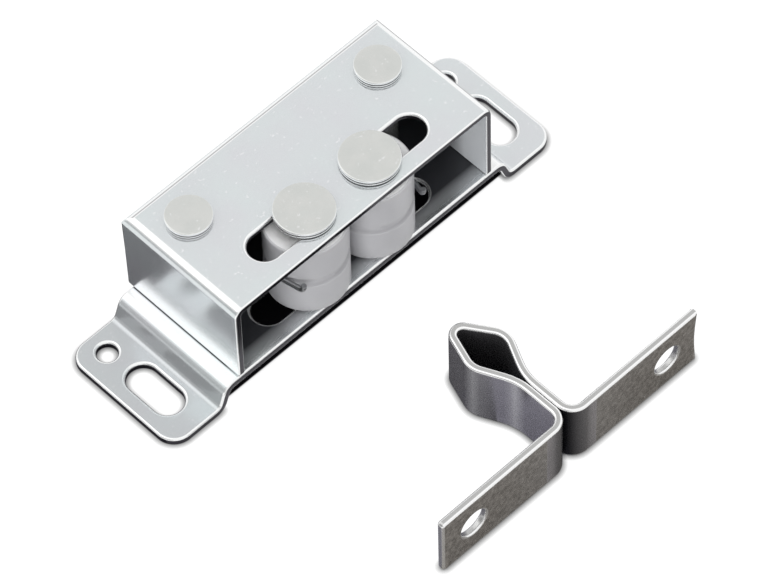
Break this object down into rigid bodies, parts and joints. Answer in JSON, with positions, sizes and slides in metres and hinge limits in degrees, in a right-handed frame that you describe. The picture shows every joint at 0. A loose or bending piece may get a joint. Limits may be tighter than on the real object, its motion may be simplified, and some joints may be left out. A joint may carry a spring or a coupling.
{
  "type": "roller catch",
  "caption": "Cupboard roller catch: a folded sheet-steel case with sprung nylon rollers on sliding axle pins, and a folded spear strike that snaps in between them.",
  "frame": {"origin": "midway between the two small fixing holes, on the mounting face under the ears", "axes": "+X along the case, -Y out of its open front towards the strike, +Z away from the mounting face"},
  "size_m": [0.073, 0.0614, 0.0212],
  "materials": {
    "zinc_plated_steel": "bright zinc plate, satin",
    "rivet_steel": "zinc plate, matt heads",
    "nylon": "natural milky nylon",
    "spring_steel": "plain drawn wire",
    "strike_steel": "nickel plate, worn satin"
  },
  "bodies": {
    "case": {"base_plate": "zinc_plated_steel", "cover": "zinc_plated_steel", "left_post_rivet": "rivet_steel", "right_post_rivet": "rivet_steel", "left_spring": "spring_steel", "right_spring": "spring_steel", "strike": "strike_steel"},
    "left_axle": {"left_axle_pin": "rivet_steel", "left_axle_washer": "rivet_steel"},
    "right_axle": {"right_axle_pin": "rivet_steel", "right_axle_washer": "rivet_steel"},
    "left_roller": {"left_roller": "nylon"},
    "right_roller": {"right_roller": "nylon"}
  },
  "joints": [
    {"name": "left_axle_slide", "type": "slide", "parent": "case", "child": "left_axle", "axis": [-1, 0, 0], "range_m": [0, 0.0074], "stiffness_N_per_m": 1500, "springref_m": -0.002, "deforming": ["left_spring"]},
    {"name": "right_axle_slide", "type": "slide", "parent": "case", "child": "right_axle", "axis": [1, 0, 0], "range_m": [0, 0.0074], "stiffness_N_per_m": 1500, "springref_m": -0.002, "deforming": ["right_spring"]},
    {"name": "left_roller_spin", "type": "hinge", "parent": "left_axle", "child": "left_roller", "pos_m": [-0.0061, -0.0123, 0.012], "axis": [0, 0, 1], "continuous": true},
    {"name": "right_roller_spin", "type": "hinge", "parent": "right_axle", "child": "right_roller", "pos_m": [0.0061, -0.0123, 0.012], "axis": [0, 0, 1], "continuous": true}
  ]
}
